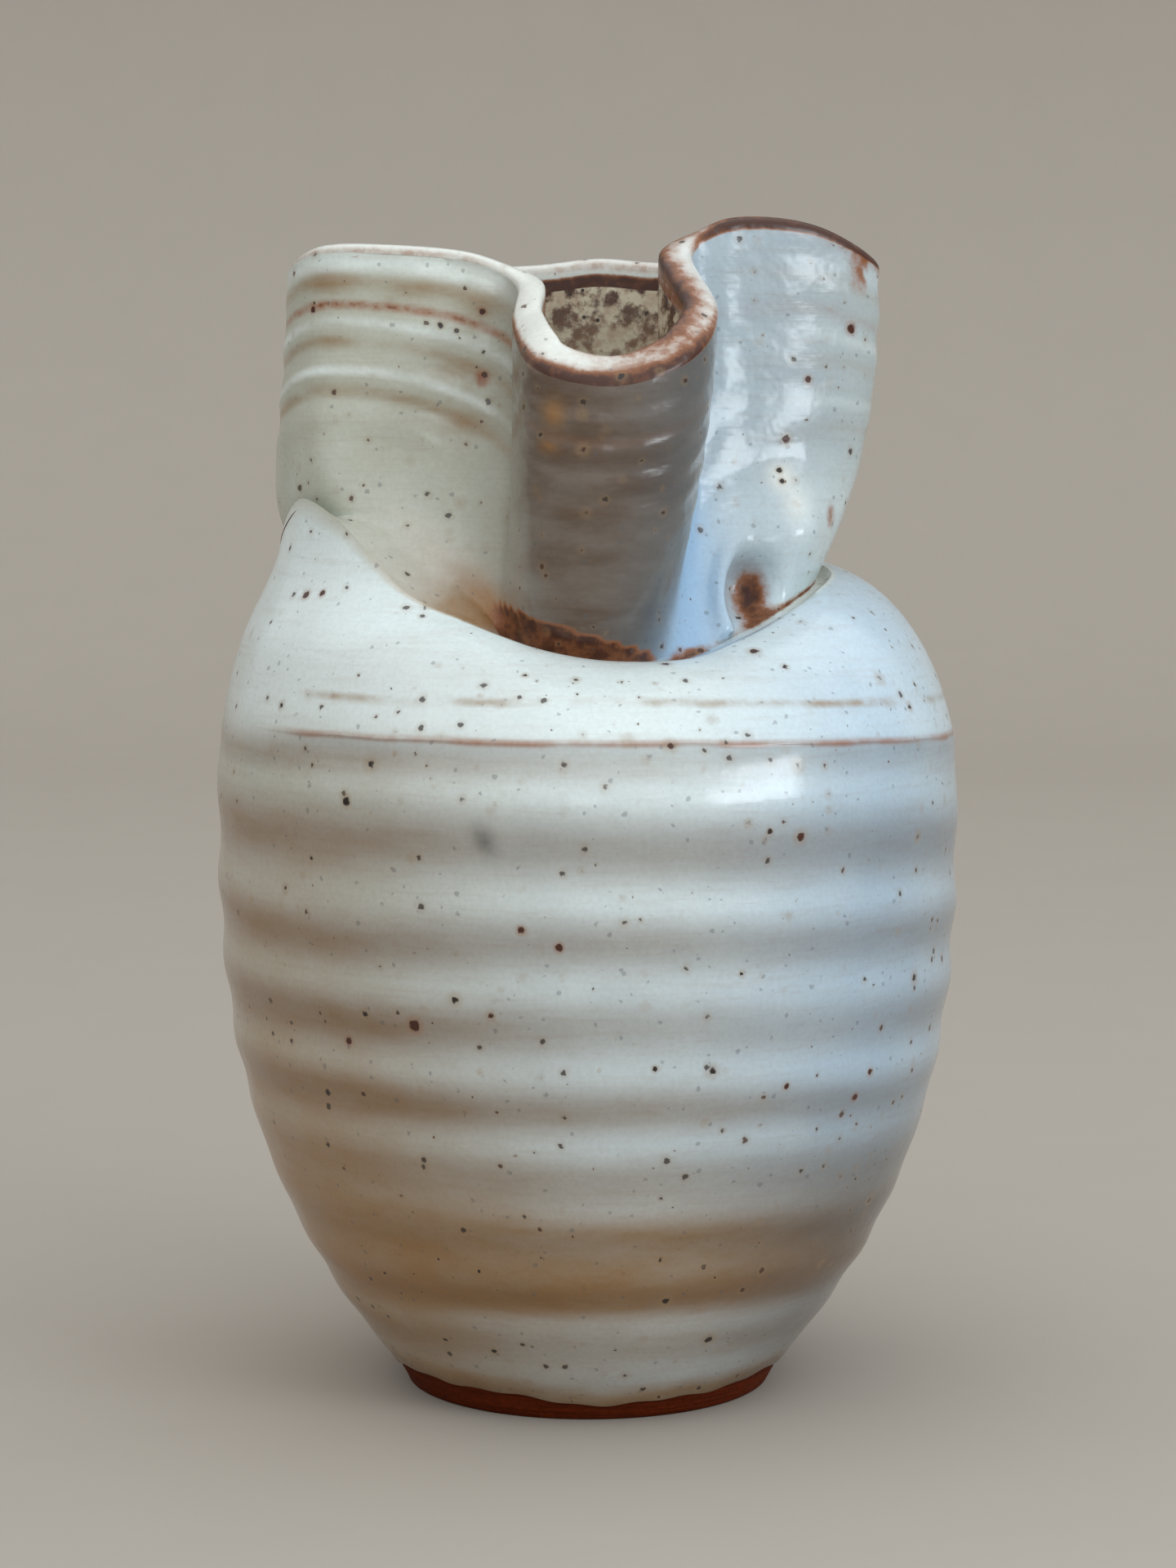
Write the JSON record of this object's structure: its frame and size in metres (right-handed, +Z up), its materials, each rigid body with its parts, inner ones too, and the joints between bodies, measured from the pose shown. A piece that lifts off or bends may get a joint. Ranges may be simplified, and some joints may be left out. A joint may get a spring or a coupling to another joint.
{
  "type": "ceramic vase",
  "caption": "Hand-thrown stoneware vase with a ringed round belly on a bare foot, and a tall neck folded at the front into a lobe between wings, for holding stems and water.",
  "frame": {"origin": "centre of the foot, on the surface that the vase stands on", "axes": "+Z up along the belly's axis, -Y to the front, where the neck's lobe is"},
  "size_m": [0.1131, 0.1134, 0.1775],
  "materials": {
    "stoneware": "bare fired red-brown clay, matt",
    "neck_stoneware": "fired red-brown clay, under the glaze",
    "pale_glaze": "glossy pale blue-white glaze breaking tan and red-brown, with iron specks",
    "liner_glaze": "satin mottled cream and brown glaze with iron specks"
  },
  "bodies": {
    "root": {"thrown_body": "stoneware", "folded_neck": "neck_stoneware", "outer_glaze": "pale_glaze", "inner_glaze": "liner_glaze"}
  },
  "joints": []
}
